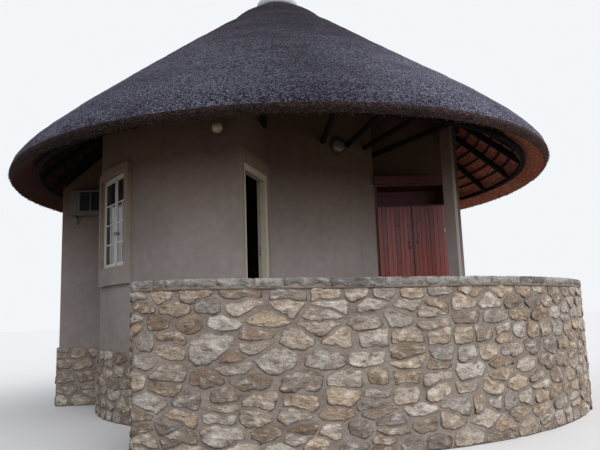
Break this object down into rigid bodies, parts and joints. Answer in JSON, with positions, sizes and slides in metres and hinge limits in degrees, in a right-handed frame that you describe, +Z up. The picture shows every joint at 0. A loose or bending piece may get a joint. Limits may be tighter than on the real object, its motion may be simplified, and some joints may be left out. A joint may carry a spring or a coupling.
{
  "type": "thatched rondavel hut",
  "caption": "Round plastered hut under a conical thatched roof on radial poles, with a raised open porch behind a curved rubble wall, a doorway, a window and a cupboard.",
  "frame": {"origin": "on the ground at its lowest point, on the roof's axis", "axes": "+Z up along the roof's axis; the porch faces -Y; +X to the right as seen from the porch side"},
  "size_m": [9.1998, 9.1997, 7.4171],
  "materials": {
    "plaster": "matte",
    "rubble": "rough",
    "coping_stone": "rough",
    "concrete": "matte",
    "thatch": "rough",
    "pole_timber": "matte",
    "cupboard_timber": "varnished",
    "painted_timber": "satin paint",
    "glazing": "clear",
    "fitting_metal": "satin",
    "pale_plastic": "satin"
  },
  "bodies": {
    "hut": {"front_wall": "plaster", "left_wall": "plaster", "rear_wall": "plaster", "right_wall": "plaster", "front_window_wall": "plaster", "rear_window_wall": "plaster", "bay_side_wall": "plaster", "bay_front_wall": "plaster", "bay_rear_wall": "plaster", "door_wall": "plaster", "door_lintel": "plaster", "porch_back_wall": "plaster", "recess_wall": "plaster", "front_window_surround": "plaster", "rear_window_surround": "plaster", "door_surround": "plaster", "pillar": "plaster", "counter_base": "plaster", "rubble_wall_left": "rubble", "rubble_wall_right": "rubble", "rubble_wall_return": "rubble", "foundation": "rubble", "coping_left": "coping_stone", "coping_right": "coping_stone", "coping_return": "coping_stone", "porch_base": "concrete", "porch_floor": "concrete", "floor_slab": "concrete", "counter_top": "concrete", "ridge_cap": "concrete", "thatch_roof": "thatch", "rafters_porch": "pole_timber", "rafters_rear": "pole_timber", "rafters_left": "pole_timber", "crown_ring": "pole_timber", "eave_ring": "pole_timber", "tie_poles": "pole_timber", "porch_beam": "pole_timber", "cupboard": "cupboard_timber", "top_shelf": "cupboard_timber", "front_window_frame": "painted_timber", "rear_window_frame": "painted_timber", "door_frame": "painted_timber", "front_window_glass": "glazing", "rear_window_glass": "glazing", "hinges": "fitting_metal", "cooling_shelf": "fitting_metal", "cooling_unit": "pale_plastic", "porch_lamp": "pale_plastic", "globe_lamp": "pale_plastic"},
    "door_leaf": {"entry_door": "painted_timber", "door_handle": "fitting_metal"},
    "left_cupboard_leaf": {"cupboard_door_left": "cupboard_timber"},
    "right_cupboard_leaf": {"cupboard_door_right": "cupboard_timber"}
  },
  "joints": [
    {"name": "entry_door_hinge", "type": "hinge", "parent": "hut", "child": "door_leaf", "pos_m": [-0.66249, -2.81597, 1.285], "axis": [0, 0, 1], "range_deg": [-68, 4]},
    {"name": "left_cupboard_hinge", "type": "hinge", "parent": "hut", "child": "left_cupboard_leaf", "pos_m": [1.523, -0.916, 1.89], "axis": [0, 0, 1], "range_deg": [-105, 0]},
    {"name": "right_cupboard_hinge", "type": "hinge", "parent": "hut", "child": "right_cupboard_leaf", "pos_m": [2.663, -0.916, 1.89], "axis": [0, 0, 1], "range_deg": [0, 105]}
  ]
}
